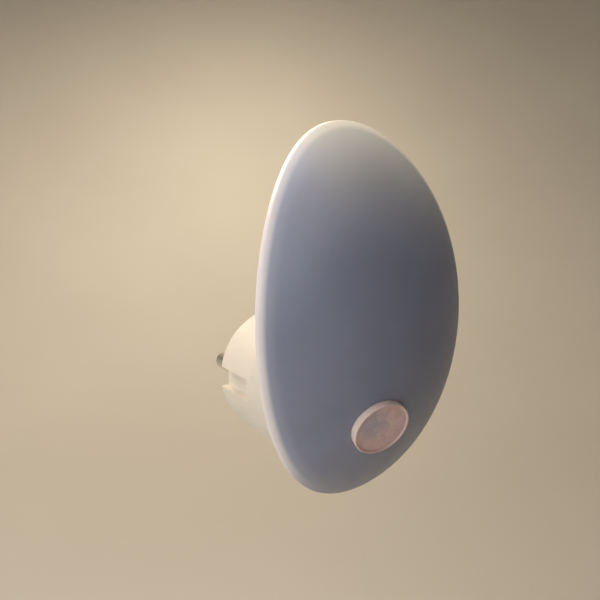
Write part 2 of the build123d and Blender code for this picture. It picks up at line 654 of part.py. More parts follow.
def sensor_can():
    """The motion sensor's metal can, with a recess for its window."""
    base = can_base_reach()
    top = base + CAN_HEIGHT
    can = rod(0, can_rise, CAN_RADIUS, base, top)
    can = fillet(can.edges().filter_by(GeomType.CIRCLE).sort_by(Axis.Y)[0], CAN_EDGE_ROUND)
    can += rod(0, can_rise, CAN_RADIUS + CAN_BRIM_WIDTH, base, base + CAN_BRIM_HEIGHT)
    return can - block(0, can_rise, CAN_WINDOW_WIDTH, CAN_WINDOW_HEIGHT, top - CAN_WINDOW_THICKNESS, top)


def sensor_window():
    """The dark filter window in the can's face."""
    top = can_base_reach() + CAN_HEIGHT
    width = CAN_WINDOW_WIDTH - 2 * SNUG_GAP
    height = CAN_WINDOW_HEIGHT - 2 * SNUG_GAP
    return block(0, can_rise, width, height, top - CAN_WINDOW_THICKNESS, top)


def sensor_leads():
    """The can's three leads, through the control board."""
    return rods(can_lead_places(), CAN_LEAD_RADIUS, control_board_rear - CAN_LEAD_TAIL, can_base_reach())


def light_sensor():
    """The small daylight sensor beside the can, inside the shroud."""
    x = CAN_RADIUS + CAN_BRIM_WIDTH + PART_GAP + DAYLIGHT_SENSOR_WIDTH / 2
    end = control_board_front + DAYLIGHT_SENSOR_THICKNESS
    return block(x, can_rise, DAYLIGHT_SENSOR_WIDTH, DAYLIGHT_SENSOR_HEIGHT, control_board_front, end)


def sensor_shroud():
    """The slanted tube that keeps the LEDs' light off the sensor and holds the lens in its seat."""
    length = 2 * (lens_reach - control_board_front)
    tube = lens_rod(flange_radius, -length, -shroud_depth) - lens_rod(flange_radius - SHROUD_WALL, -length, 0)
    room = 4 * flange_radius
    return tube & block(0, LENS_RISE, room, room, control_board_front, SHIELD_REACH)


def lens_section(inset, foot):
    """Half section of the lens cap, or of the hollow in it, with a rounded shoulder and a low crown."""
    side = LENS_RADIUS - inset
    top = LENS_HEIGHT - inset
    shoulder = top - LENS_CROWN
    corner = (side - LENS_SHOULDER, shoulder)
    bend = LENS_SHOULDER * (1 - math.sqrt(0.5))
    edges = Curve()
    edges += Line((0, foot), (side, foot))
    edges += Line((side, foot), (side, shoulder - LENS_SHOULDER))
    edges += ThreePointArc((side, shoulder - LENS_SHOULDER), (side - bend, shoulder - bend), corner)
    edges += Line(corner, (0, top))
    edges += Line((0, top), (0, foot))
    return make_face(Plane.XZ * edges)


def sensor_lens():
    """The lens cap with the flange that lies behind the shield."""
    cap = revolve(lens_section(0, -LENS_SEAT_DEPTH), Axis.Z, 360)
    flange = Pos(0, 0, -shroud_depth) * Cylinder(
        flange_radius, LENS_FLANGE_HEIGHT, align=(Align.CENTER, Align.CENTER, Align.MIN))
    hollow = revolve(lens_section(LENS_WALL, -shroud_depth), Axis.Z, 360)
    return lens_plane * (cap + flange - hollow)


def light_window():
    """The opal window: a plug that stands a little proud of the pod, with a flange inside."""
    gap = 2 * FIT_GAP
    face = RectangleRounded(WINDOW_WIDTH - gap, WINDOW_HEIGHT - gap, WINDOW_CORNER - FIT_GAP)
    plug = slab(Pos(0, WINDOW_RISE) * face, pod_reach - WINDOW_PROUD, pod_inner_reach)
    plug = fillet(plug.faces().sort_by(Axis.Y)[-1].edges(), WINDOW_EDGE_ROUND)
    wide = 2 * WINDOW_FLANGE_WIDTH
    flange = Pos(0, WINDOW_RISE) * RectangleRounded(
        WINDOW_WIDTH + wide, WINDOW_HEIGHT + wide, WINDOW_CORNER + WINDOW_FLANGE_WIDTH)
    return plug + slab(flange, pod_inner_reach, pod_inner_reach + WINDOW_FLANGE_THICKNESS)


def led_board():
    """The LED board on its two posts, facing the window."""
    outline = Pos(0, WINDOW_RISE) * RectangleRounded(LED_BOARD_WIDTH, 2 * led_board_half, LED_BOARD_CORNER)
    board = slab(outline, led_board_rear, led_board_front)
    return board - rods(led_post_places, BOARD_SHANK + LEAD_HOLE_GAP, led_board_rear, led_board_front)


def led(index):
    """One LED on the board's back, facing the window."""
    column = index % LED_COLUMNS
    row = index // LED_COLUMNS
    x = (column - (LED_COLUMNS - 1) / 2) * LED_SPACING_X
    z = WINDOW_RISE + ((LED_ROWS - 1) / 2 - row) * LED_SPACING_Z
    body = block(x, z, LED_WIDTH, LED_HEIGHT, led_board_rear - LED_THICKNESS, led_board_rear)
    return fillet(body.edges().filter_by(Axis.Y), LED_CORNER_ROUND)


def switch_body():
    """The slide switch's case, open at the side for the stem."""
    x = switch_outer - SWITCH_DEPTH / 2
    start = switch_reach - SWITCH_THICKNESS / 2
    case = block(x, 0, SWITCH_DEPTH, SWITCH_LENGTH, start, start + SWITCH_THICKNESS)
    pocket_length = STEM_LENGTH + 2 * SWITCH_TRAVEL + 2 * STEM_GAP
    pocket_depth = STEM_INSIDE + STEM_GAP
    pocket_half = STEM_THICKNESS / 2 + STEM_GAP
    pocket_start = switch_reach - pocket_half
    pocket_end = switch_reach + pocket_half
    pocket_x = switch_outer - pocket_depth / 2
    return case - block(pocket_x, 0, pocket_depth, pocket_length, pocket_start, pocket_end)


def switch_pins():
    """The switch's solder pins, through the control board."""
    end = control_board_front + SWITCH_PIN_TAIL
    return rods(switch_pin_places(), SWITCH_PIN_RADIUS, control_board_rear, end)


def stem_outer():
    """How far out the switch's stem reaches."""
    return knob_outer - KNOB_TIP_WALL - KNOB_STEM_GAP


def switch_stem():
    """The stem that slides up and down in the switch."""
    inner = switch_outer - STEM_INSIDE
    outer = stem_outer()
    half = STEM_THICKNESS / 2
    return block((inner + outer) / 2, 0, outer - inner, STEM_LENGTH, switch_reach - half, switch_reach + half)


def mode_knob():
    """The cap on the stem, with grip grooves on its outer face."""
    start = switch_reach - KNOB_THICKNESS / 2
    end = switch_reach + KNOB_THICKNESS / 2
    middle = (knob_inner + knob_outer) / 2
    knob = block(middle, 0, knob_outer - knob_inner, KNOB_LENGTH, start, end)
    knob = fillet(knob.faces().sort_by(Axis.X)[-1].edges(), KNOB_EDGE_ROUND)
    for step in range(KNOB_GROOVES):
        z = (step - (KNOB_GROOVES - 1) / 2) * KNOB_GROOVE_PITCH
        knob -= block(knob_outer, z, 2 * KNOB_GROOVE_DEPTH, KNOB_GROOVE_WIDTH, start, end)
    pocket_outer = stem_outer() + KNOB_STEM_GAP
    pocket_half = STEM_THICKNESS / 2 + KNOB_STEM_GAP
    pocket_middle = (knob_inner + pocket_outer) / 2
    pocket_span = pocket_outer - knob_inner
    pocket_length = STEM_LENGTH + 2 * KNOB_STEM_GAP
    pocket_start = switch_reach - pocket_half
    pocket_end = switch_reach + pocket_half
    return knob - block(pocket_middle, 0, pocket_span, pocket_length, pocket_start, pocket_end)


def board_screws(places, seat, way):
    """Small screws that hold a board."""
    sizes = (BOARD_SHANK, BOARD_HEAD, BOARD_HEAD_HEIGHT, BOARD_SCREW_LENGTH)
    return Part() + [screw(x, z, seat, way, *sizes) for x, z in places]


def housing_screws():
    """The three screws that hold the rear housing to the shield."""
    sizes = (HOUSING_SHANK, HOUSING_HEAD, HOUSING_HEAD_HEIGHT, HOUSING_SCREW_LENGTH)
    return Part() + [screw(x, z, housing_screw_seat, 1, *sizes) for x, z in housing_screw_places()]


def plug_screws():
    """The two long screws that hold the plug base to the neck."""
    sizes = (PLUG_SHANK, PLUG_HEAD, PLUG_HEAD_HEIGHT, PLUG_SCREW_LENGTH)
    return Part() + [screw(x, z, plug_screw_seat, 1, *sizes) for x, z in plug_screw_places]


def all_nodes():
    """Every node of the light, by name."""
    nodes = {
        "front_shield": front_shield(),
        "rear_housing": rear_housing(),
        "plug_base": plug_base(),
        "contact_pin_left": contact_pin(-1),
        "contact_pin_right": contact_pin(1),
        "sensor_lens": sensor_lens(),
        "sensor_shroud": sensor_shroud(),
        "sensor_can": sensor_can(),
        "sensor_window": sensor_window(),
        "sensor_leads": sensor_leads(),
        "light_sensor": light_sensor(),
        "light_window": light_window(),
        "led_board": led_board(),
        "led_wires": led_wires(),
        "control_board": control_board(),
        "control_chip": control_chip(),
        "chip_legs": chip_legs(),
        "switch_body": switch_body(),
        "switch_pins": switch_pins(),
        "switch_stem": switch_stem(),
        "mode_knob": mode_knob(),
        "power_board": power_board(),
        "film_capacitor": film_capacitor(),
        "electrolytic_capacitor": electrolytic_capacitor(),
        "surge_varistor": surge_varistor(),
        "fuse_resistor": fuse_resistor(),
        "bridge_rectifier": bridge_rectifier(),
        "supply_wires": supply_wires(),
        "housing_screws": housing_screws(),
        "plug_screws": plug_screws(),
        "led_board_screws": board_screws(led_post_places, led_board_front, -1),
        "control_board_screws": board_screws(control_screw_places, control_board_rear, 1),
        "power_board_screws": board_screws(power_screw_places, power_board_front, -1),
    }
    for index in range(LED_COLUMNS * LED_ROWS):
        nodes[f"led_{index + 1}"] = led(index)
    return nodes


os.makedirs("parts", exist_ok=True)
for name, shape in all_nodes().items():
    export_step(shape, f"parts/{name}.step")
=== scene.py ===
import json
import math

import bmesh
import bpy
from mathutils import Matrix, Vector


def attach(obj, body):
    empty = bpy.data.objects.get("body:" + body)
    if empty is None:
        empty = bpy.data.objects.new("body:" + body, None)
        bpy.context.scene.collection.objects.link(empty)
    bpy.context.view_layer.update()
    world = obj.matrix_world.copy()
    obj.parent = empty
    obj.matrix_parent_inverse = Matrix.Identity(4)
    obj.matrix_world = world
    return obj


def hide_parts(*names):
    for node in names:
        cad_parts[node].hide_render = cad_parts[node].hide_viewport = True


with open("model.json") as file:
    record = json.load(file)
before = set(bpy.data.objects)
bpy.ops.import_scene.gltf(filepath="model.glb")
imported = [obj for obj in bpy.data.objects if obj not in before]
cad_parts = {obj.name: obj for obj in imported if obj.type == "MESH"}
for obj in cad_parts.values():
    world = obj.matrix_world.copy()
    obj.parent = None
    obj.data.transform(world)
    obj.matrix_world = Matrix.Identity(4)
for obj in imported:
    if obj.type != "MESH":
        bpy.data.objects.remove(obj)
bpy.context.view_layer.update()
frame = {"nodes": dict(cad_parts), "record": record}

# The looks of a plug-in night light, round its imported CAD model. Metres; +Z up, +Y towards the wall.
MM = 0.001

# Camera
CAMERA_PLACE = (-0.0924, -0.1861, 0.0497)
CAMERA_YAW = 0.490
CAMERA_PITCH = -0.144
CAMERA_ROLL = -0.003
CAMERA_LENS = 45.0
SENSOR_WIDTH = 36.0

# Shield, as the CAD has it
SHIELD_HALF_WIDTH = 27.0 * MM
SHIELD_HALF_HEIGHT = 45.0 * MM
SHIELD_RISE = 20.9 * MM

# The shield's looks: a painted-light rim and painted glow. Places are shares of its half width and half
# height, from its middle.
PAINTED_RIM_BAND = (0.945, 0.985)      # outwards, where the face turns into the painted lit rim
PAINTED_RIM_FADE = (-0.6, 0.0)         # towards the upper left, where the painted rim light comes up to full
PAINTED_RIM_REMAINS = 0.05               # what is left of the painted rim light at the lower right
LIT_CORNER_UP = 0.8
LIT_CORNER_LEFT = 0.6
PAINTED_CORNER_GLOW_BAND = (0.45, 1.0)      # towards the upper left, where the painted glow in the corner comes up
PAINTED_CORNER_GLOW = 0.07
PAINTED_TOP_GLOW_START = 0.1
PAINTED_TOP_GLOW_CURVE = 3.1
PAINTED_TOP_GLOW = 0.43
PAINTED_RIM_GLOW = 0.04
PAINTED_SIDE_GLOW_BAND = (0.87, 0.965)      # outwards, where the painted glow on the left side lies
PAINTED_SIDE_GLOW_FADE = (-0.7, 0.1)        # across, where the left side's painted glow dies away
PAINTED_SIDE_GLOW = 0.06
PAINTED_GLOW_WARM_BAND = (-0.75, -0.25)     # across, where the painted glow turns from pinkish white to warm

# Lens, as the CAD has it: its axis tilts down, square to the shield
LENS_PLACE = (0.0, -50.88 * MM, -2.7 * MM)
LENS_RADIUS = 7.0 * MM
LENS_HEIGHT = 1.1 * MM
LENS_SEAT = 2.6 * MM
LENS_FLANGE = 8.4 * MM
LENS_FLANGE_BACK = 3.5 * MM
LENS_WALL = 0.7 * MM
LENS_TILT = math.asin(23.6 / 59.0)

# What this lens has instead of the CAD's plain crown: a lip, low cells on a sunk face, and a hollow to match
LENS_FACE = 6.45 * MM
LENS_LIP_ROUND = 0.26 * MM
LENS_RECESS = 0.42 * MM
LENS_CELL_RING = 4.1 * MM
LENS_CELL_REACH = 2.1 * MM
LENS_CELL_DEPTH = 0.15 * MM
LENS_CELL_TURN = 0.25                        # of a cell
LENS_RING_CELLS = 8
LENS_LIP_FOOT = (0.08 * MM, 0.05 * MM)       # out from the face, and up from it
LENS_LIP_INSIDE = (0.13 * MM, 0.15 * MM)     # out from the face, and down from the crest
LENS_LIP_BROW = (0.12 * MM, 0.03 * MM)       # in from the crest, and down from it
LENS_SIDE_STEP = 0.3 * MM
LENS_HOLLOW_SHOULDER = 0.4 * MM
LENS_HOLLOW_TAPER = 0.8 * MM
LENS_SHARP_ANGLE = math.radians(40)

# The lens's looks. Grains and reliefs are in millimetres here and below.
LENS_LIP_EDGE = 0.1 * MM
LENS_LIP_GRAIN = 2
LENS_SHADE_PLACE = (-2.4 * MM, 1.4 * MM)
LENS_SHADE_CORE = 1.8 * MM
LENS_SHADE_REACH = 5.0 * MM
LENS_PATCH_GRAIN = 2.6
LENS_PATCH_SHARES = (0.62, 1.0)
LENS_PATCH_BAND = (0.38, 0.62)
LENS_DRIFT_GRAIN = 1.6
LENS_CELL_SHADE_SHARE = 0.05         # of the painted shade at the cells' edges
LENS_CELL_SHADE_BAND = (0.74, 1.0)   # from a cell's middle to its edge
LENS_GLOSS_GRAIN = 1.5
LENS_FINE_GRAIN = 0.3
LENS_FINE_RELIEF = 0.004

# The shield's plastic
SHIELD_DRIFT_GRAIN = 12
SHIELD_GLOSS_GRAIN = 4
SHIELD_FINE_GRAIN = 0.22
SHIELD_FINE_RELIEF = 0.004
SHIELD_SAG_GRAIN = 14
SHIELD_SAG_RELIEF = 0.03
PAINTED_RIM_DRIFT_GRAIN = 5

# The opal window and the LEDs behind it
LED_ACROSS = 5.0 * MM
LED_RISES = (31.5 * MM, 40.3 * MM)
LED_SPOT = 6.5 * MM
WINDOW_DRIFT_GRAIN = 5
WINDOW_STRENGTHS = (0.7, 2.6)
WINDOW_STRENGTH_BAND = (0.0, 1.2)
WINDOW_FINE_GRAIN = 0.5
WINDOW_FINE_RELIEF = 0.005

# Moulded plastic and metal
DRIFT_GRAIN = 9
GLOSS_GRAIN = 3.5
GLOSS_SPREAD = 0.06
SAG_GRAIN = 6
SAG_RELIEF = 0.02
METAL_DRIFT_GRAIN = 2.5
METAL_DARKER = 0.12
METAL_LIGHTER = 0.06
METAL_GLOSS_GRAIN = 0.9
METAL_SHINIER = 0.07
METAL_DULLER = 0.10
MARK_GRAIN = 0.12
MARK_STRETCH = (0.15, 1, 0.15)
MARK_RELIEF = 0.004

# Board
TRACK_SCALE = 320.0
TRACK_GAP = 0.06
TRACK_RELIEF = 0.02

# Stage
FLOOR_LEVEL = -0.20
FLOOR_REACH = 0.50
FLOOR_GRAIN = 180
FLAT_STEPS = 6
BEND_RADIUS = 0.90
BEND_STEPS = 12
WALL_TOP = 1.6
STAGE_TURNS = 96

# Lights
WORLD_COLOUR = (0.80, 0.88, 1.0)
WORLD_STRENGTH = 0.04
SHIELD_TARGET = (0, -0.04, 0.03)
UPPER_TARGET = (0, -0.04, 0.04)
LIGHTS = (
    # name, place, target, size, power, colour
    ("top_light", (0.0, -0.12, 0.60), UPPER_TARGET, 0.35, 0.45, (1.0, 0.96, 0.86)),
    ("side_light", (-0.50, -0.08, 0.08), SHIELD_TARGET, 0.30, 1.03, (1.0, 0.97, 0.90)),
    ("front_light", (-0.45, -0.50, 0.30), SHIELD_TARGET, 0.45, 0.60, (0.78, 0.86, 1.0)),
    ("back_light", (-0.10, 0.16, 0.20), UPPER_TARGET, 0.12, 0.46, (1.0, 0.84, 0.64)),
    ("wall_light", (0.15, 0.60, 0.55), (0.15, 0.55, -0.20), 0.40, 2.8, (1.0, 0.85, 0.63)),
    ("glow_light", (0.36, 0.82, 0.40), (0.44, 1.02, 0.10), 0.20, 0.85, (1.0, 0.87, 0.66)),
    ("far_light", (-0.55, 0.40, 0.60), (-0.80, 0.55, -0.10), 0.40, 1.6, (1.0, 0.90, 0.76)),
)


def link(thing):
    """Puts an object into the scene."""
    bpy.context.scene.collection.objects.link(thing)
    return thing


def make_camera():
    """The camera at the place and angle that the wall frame's outline gave."""
    data = bpy.data.cameras.new("camera")
    data.lens = CAMERA_LENS
    data.sensor_width = SENSOR_WIDTH
    data.clip_start = 0.01
    data.clip_end = 10.0
    camera = link(bpy.data.objects.new("camera", data))
    ahead = Vector((
        math.sin(CAMERA_YAW) * math.cos(CAMERA_PITCH),
        math.cos(CAMERA_YAW) * math.cos(CAMERA_PITCH),
        math.sin(CAMERA_PITCH),
    ))
    level = Vector((math.cos(CAMERA_YAW), -math.sin(CAMERA_YAW), 0.0))
    upright = level.cross(ahead)
    right = level * math.cos(CAMERA_ROLL) + upright * math.sin(CAMERA_ROLL)
    up = upright * math.cos(CAMERA_ROLL) - level * math.sin(CAMERA_ROLL)
    turn = Matrix((right, up, -ahead)).transposed()
    camera.matrix_world = Matrix.Translation(CAMERA_PLACE) @ turn.to_4x4()
    bpy.context.scene.camera = camera


class Look:
    """A Principled material and short ways to add procedural nodes. Grains and reliefs are in millimetres."""

    def __init__(self, name, **constants):
        self.material = bpy.data.materials.new(name)
        self.material.use_nodes = True
        self.tree = self.material.node_tree
        self.shader = self.tree.nodes["Principled BSDF"]
        for socket, value in constants.items():
            self.shader.inputs[socket.replace("_", " ")].default_value = value
        self.place = self.node("ShaderNodeTexCoord").outputs["Object"]
        self.normal = None

    def node(self, kind, **settings):
        made = self.tree.nodes.new(kind)
        for key, value in settings.items():
            setattr(made, key, value)
        return made

    def join(self, source, target):
        self.tree.links.new(source, target)

    def math(self, operation, *values, clamp=False):
        made = self.node("ShaderNodeMath", operation=operation, use_clamp=clamp)
        for socket, value in zip(made.inputs, values):
            if isinstance(value, (int, float)):
                socket.default_value = value
            else:
                self.join(value, socket)
        return made.outputs[0]

    def noise(self, grain, detail=3.0, stretch=(1, 1, 1)):
        """A noise value whose features are about grain millimetres across."""
        place = self.node("ShaderNodeMapping")
        place.inputs["Scale"].default_value = stretch
        self.join(self.place, place.inputs["Vector"])
        made = self.node("ShaderNodeTexNoise")
        made.inputs["Scale"].default_value = 1.0 / (grain * MM)
        made.inputs["Detail"].default_value = detail
        self.join(place.outputs["Vector"], made.inputs["Vector"])
        return made.outputs["Fac"]

    def ramp(self, value, low, high, start=0.3, end=0.7):
        """Colour or grey between two ends, as a value goes from start to end."""
        made = self.node("ShaderNodeMapRange", interpolation_type="SMOOTHSTEP")
        made.inputs["From Min"].default_value = start
        made.inputs["From Max"].default_value = end
        self.join(value, made.inputs["Value"])
        if isinstance(low, (int, float)):
            made.inputs["To Min"].default_value = low
            made.inputs["To Max"].default_value = high
            return made.outputs["Result"]
        return self.mix(made.outputs["Result"], low, high)

    def mix(self, share, low, high):
        made = self.node("ShaderNodeMix", data_type="RGBA")
        colours = [socket for socket in made.inputs if socket.type == "RGBA"]
        self.join(share, made.inputs["Factor"])
        for socket, colour in zip(colours, (low, high)):
            if isinstance(colour, tuple):
                socket.default_value = (*colour, 1.0)
            else:
                self.join(colour, socket)
        return next(socket for socket in made.outputs if socket.type == "RGBA")

    def bump(self, height, depth):
        """Adds relief of so many millimetres, on top of any that is there."""
        made = self.node("ShaderNodeBump")
        made.inputs["Strength"].default_value = 1.0
        made.inputs["Distance"].default_value = depth * MM
        self.join(height, made.inputs["Height"])
        if self.normal is not None:
            self.join(self.normal, made.inputs["Normal"])
        self.normal = made.outputs["Normal"]
        self.join(self.normal, self.shader.inputs["Normal"])

    def set(self, socket, value):
        self.join(value, self.shader.inputs[socket])

    def axis(self, name):
        """One coordinate of the place, in metres."""
        made = self.node("ShaderNodeSeparateXYZ")
        self.join(self.place, made.inputs["Vector"])
        return made.outputs[name]

    def distance(self, across, up, x, z):
        """How far a place in a plane is from a point of it."""
        across = self.math("SUBTRACT", across, x)
        up = self.math("SUBTRACT", up, z)
        return self.math("SQRT", self.math("ADD", self.math("MULTIPLY", across, across),
                                           self.math("MULTIPLY", up, up)))


def tinted(colour, share):
    """A colour made lighter or darker by a share of itself."""
    return tuple(min(1.0, channel * (1 + share)) for channel in colour)


def moulded(name, colour, roughness, grain=0.25, relief=0.006, variation=0.05, **constants):
    """Moulded plastic: a slow drift in colour, uneven gloss and a fine spark-eroded grain."""
    look = Look(name, **constants)
    shiny = roughness - GLOSS_SPREAD
    dull = roughness + GLOSS_SPREAD
    drift = look.ramp(look.noise(DRIFT_GRAIN), tinted(colour, -variation), tinted(colour, variation))
    look.set("Base Color", drift)
    look.set("Roughness", look.ramp(look.noise(GLOSS_GRAIN), shiny, dull))
    look.bump(look.noise(grain, 2), relief)
    look.bump(look.noise(SAG_GRAIN, 1), SAG_RELIEF)
    return look


def metal(name, colour, roughness, wear=1.0):
    """Turned or pressed metal: fine marks across the length, and dull patches as the wear asks."""
    look = Look(name, Metallic=1.0)
    darker = tinted(colour, -METAL_DARKER * wear)
    lighter = tinted(colour, METAL_LIGHTER * wear)
    shiny = roughness - METAL_SHINIER * wear
    dull = roughness + METAL_DULLER * wear
    look.set("Base Color", look.ramp(look.noise(METAL_DRIFT_GRAIN), darker, lighter))
    look.set("Roughness", look.ramp(look.noise(METAL_GLOSS_GRAIN), shiny, dull))
    look.bump(look.noise(MARK_GRAIN, 2, MARK_STRETCH), MARK_RELIEF * wear)
    return look


def shield_look():
    """Satin slate-grey plastic, its grey partly painted shade. Its pale painted-light rim fades to the lower
    right, and painted glow lights it at the top and left.
    """
    look = Look("shield_plastic_painted_light_and_shade", Subsurface_Weight=0.25, Subsurface_Scale=0.0012, Coat_Weight=0.15,
                Coat_Roughness=0.3, Specular_IOR_Level=0.4)
    x = look.math("DIVIDE", look.axis("X"), SHIELD_HALF_WIDTH)
    z = look.math("DIVIDE", look.math("SUBTRACT", look.axis("Z"), SHIELD_RISE), SHIELD_HALF_HEIGHT)
    out = look.distance(x, z, 0.0, 0.0)
    # Towards the upper left, where the painted rim light and the painted glow are strongest.
    corner = look.math("SUBTRACT", look.math("MULTIPLY", z, LIT_CORNER_UP), look.math("MULTIPLY", x, LIT_CORNER_LEFT))
    # The face's slate grey is partly painted shade: the shield's plastic made darker and bluer, as in shade.
    face = look.ramp(look.noise(SHIELD_DRIFT_GRAIN), (0.286, 0.316, 0.440), (0.304, 0.336, 0.467))
    # The pale rim colour is painted light: a lit copy of the face's plastic that fades towards the lower
    # right.
    lit_rim = look.ramp(look.noise(PAINTED_RIM_DRIFT_GRAIN), (0.70, 0.67, 0.69), (0.74, 0.71, 0.73))
    rim_light_share = look.ramp(corner, PAINTED_RIM_REMAINS, 1.0, *PAINTED_RIM_FADE)
    at_lit_rim = look.math("MULTIPLY", look.ramp(out, 0.0, 1.0, *PAINTED_RIM_BAND), rim_light_share)
    look.set("Base Color", look.mix(at_lit_rim, face, lit_rim))
    # Painted glow: emission at the left side, the top, the upper left corner and the rim, in place of light
    # coming round the shield.
    side_glow_share = look.ramp(x, 1.0, 0.0, *PAINTED_SIDE_GLOW_FADE)
    side_painted_glow = look.math("MULTIPLY", look.ramp(out, 0.0, PAINTED_SIDE_GLOW, *PAINTED_SIDE_GLOW_BAND), side_glow_share)
    height = look.math("DIVIDE", look.math("SUBTRACT", z, PAINTED_TOP_GLOW_START), 1 - PAINTED_TOP_GLOW_START, clamp=True)
    top_painted_glow = look.math("MULTIPLY", look.math("POWER", height, PAINTED_TOP_GLOW_CURVE), PAINTED_TOP_GLOW)
    corner_painted_glow = look.ramp(corner, 0.0, PAINTED_CORNER_GLOW, *PAINTED_CORNER_GLOW_BAND)
    rim_painted_glow = look.math("ADD", look.math("MULTIPLY", at_lit_rim, PAINTED_RIM_GLOW), side_painted_glow)
    look.set("Emission Strength", look.math("ADD", look.math("ADD", top_painted_glow, corner_painted_glow), rim_painted_glow))
    look.set("Emission Color", look.ramp(x, (1.0, 0.93, 0.98), (1.0, 0.87, 0.62), *PAINTED_GLOW_WARM_BAND))
    look.set("Roughness", look.ramp(look.noise(SHIELD_GLOSS_GRAIN), 0.36, 0.46))
    look.bump(look.noise(SHIELD_FINE_GRAIN, 2), SHIELD_FINE_RELIEF)
    look.bump(look.noise(SHIELD_SAG_GRAIN, 1), SHIELD_SAG_RELIEF)
    return look


def lens_look():
    """Milky polyethylene: a pale lip, pinkish cells with faint painted shade in the creases at their edges,
    and lilac patches at the upper left.
    """
    look = Look("lens_polyethylene", Subsurface_Weight=0.4, Subsurface_Scale=0.0012, Specular_IOR_Level=0.45)
    back = look.math("SUBTRACT", look.axis("Y"), LENS_PLACE[1])
    rise = look.math("SUBTRACT", look.axis("Z"), LENS_PLACE[2])
    up = look.math("SUBTRACT", look.math("MULTIPLY", rise, math.cos(LENS_TILT)),
                   look.math("MULTIPLY", back, math.sin(LENS_TILT)))
    across = look.axis("X")
    out = look.distance(across, up, 0.0, 0.0)
    patches = look.ramp(look.noise(LENS_PATCH_GRAIN, 1), *LENS_PATCH_SHARES, *LENS_PATCH_BAND)
    away = look.distance(across, up, *LENS_SHADE_PLACE)
    shade = look.ramp(away, 1.0, 0.0, LENS_SHADE_CORE, LENS_SHADE_REACH)
    face = look.ramp(look.noise(LENS_DRIFT_GRAIN), (0.85, 0.60, 0.61), (0.91, 0.69, 0.70))
    face = look.mix(look.math("MULTIPLY", patches, shade), face, (0.62, 0.57, 0.66))
    cell = look.node("ShaderNodeAttribute", attribute_name="cell_edge").outputs["Fac"]
    # Painted shade: the face darkens a little in the creases at the cells' edges.
    face = look.mix(look.ramp(cell, 0.0, LENS_CELL_SHADE_SHARE, *LENS_CELL_SHADE_BAND), face, (0.55, 0.44, 0.42))
    lip = look.ramp(look.noise(LENS_LIP_GRAIN), (0.80, 0.65, 0.62), (0.86, 0.71, 0.68))
    at_lip = look.ramp(out, 0.0, 1.0, LENS_FACE, LENS_FACE + LENS_LIP_EDGE)
    look.set("Base Color", look.mix(at_lip, face, lip))
    look.set("Roughness", look.ramp(look.noise(LENS_GLOSS_GRAIN), 0.38, 0.5))
    look.bump(look.noise(LENS_FINE_GRAIN, 2), LENS_FINE_RELIEF)
    return look


def window_look():
    """The opal window, brightest in front of each of the four LEDs behind it."""
    look = Look("window_opal", Subsurface_Weight=0.4, Subsurface_Scale=0.002, Roughness=0.35)
    glow = None
    for x in (-LED_ACROSS, LED_ACROSS):
        for z in LED_RISES:
            away = look.distance(look.axis("X"), look.axis("Z"), x, z)
            spot = look.ramp(away, 1.0, 0.0, 0.0, LED_SPOT)
            glow = spot if glow is None else look.math("ADD", glow, spot)
    look.set("Base Color", look.ramp(look.noise(WINDOW_DRIFT_GRAIN), (0.92, 0.88, 0.80), (0.96, 0.93, 0.86)))
    look.set("Emission Color", look.ramp(glow, (1.0, 0.70, 0.40), (1.0, 0.84, 0.60), 0.0, 1.0))
    look.set("Emission Strength", look.ramp(glow, *WINDOW_STRENGTHS, *WINDOW_STRENGTH_BAND))
    look.bump(look.noise(WINDOW_FINE_GRAIN, 2), WINDOW_FINE_RELIEF)
    return look


def board_look():
    """Solder mask over copper tracks on a glass-fibre board."""
    look = Look("board_mask", Roughness=0.4, Coat_Weight=0.3)
    tracks = look.node("ShaderNodeTexBrick")
    tracks.inputs["Scale"].default_value = TRACK_SCALE
    tracks.inputs["Mortar Size"].default_value = TRACK_GAP
    look.join(look.place, tracks.inputs["Vector"])
    mask = look.ramp(look.noise(2), (0.02, 0.20, 0.08), (0.03, 0.27, 0.12))
    look.set("Base Color", look.mix(tracks.outputs["Fac"], mask, (0.06, 0.36, 0.18)))
    look.bump(tracks.outputs["Fac"], TRACK_RELIEF)
    return look


def make_looks():
    """One material for each of the record's slots."""
    looks = {
        "shield_grey": shield_look(),
        "housing_white": moulded("housing_plastic", (0.78, 0.73, 0.665), 0.48, 0.3, 0.009, 0.018,
                                 Subsurface_Weight=0.2, Subsurface_Scale=0.0012),
        "knob_grey": moulded("knob_plastic", (0.42, 0.43, 0.45), 0.5, 0.2, 0.008),
        "lens_milky": lens_look(),
        "opal_window": window_look(),
        "pin_metal": metal("pin_nickel", (0.74, 0.72, 0.68), 0.24, wear=0.12),
        "screw_steel": metal("screw_zinc", (0.62, 0.63, 0.65), 0.35),
        "board_green": board_look(),
        "can_metal": metal("can_nickel", (0.68, 0.67, 0.64), 0.3),
        "filter_dark": moulded("filter_dark", (0.05, 0.04, 0.05), 0.15),
        "part_black": moulded("epoxy_black", (0.03, 0.03, 0.035), 0.5),
        "film_yellow": moulded("film_box", (0.75, 0.52, 0.08), 0.42),
        "sleeve_dark": moulded("sleeve_dark", (0.04, 0.05, 0.10), 0.3),
        "varistor_blue": moulded("varistor_epoxy", (0.06, 0.16, 0.40), 0.4, 0.6, 0.03),
        "fuse_green": moulded("fuse_coat", (0.24, 0.38, 0.22), 0.45),
        "wire_red": moulded("wire_pvc", (0.55, 0.04, 0.03), 0.4),
        "led_yellow": moulded("led_phosphor", (0.90, 0.74, 0.25), 0.4),
    }
    for row in frame["record"]["subparts"]:
        node = frame["nodes"][row["node"]]
        node.data.materials.clear()
        node.data.materials.append(looks[row["material_slot"]].material)
    return looks


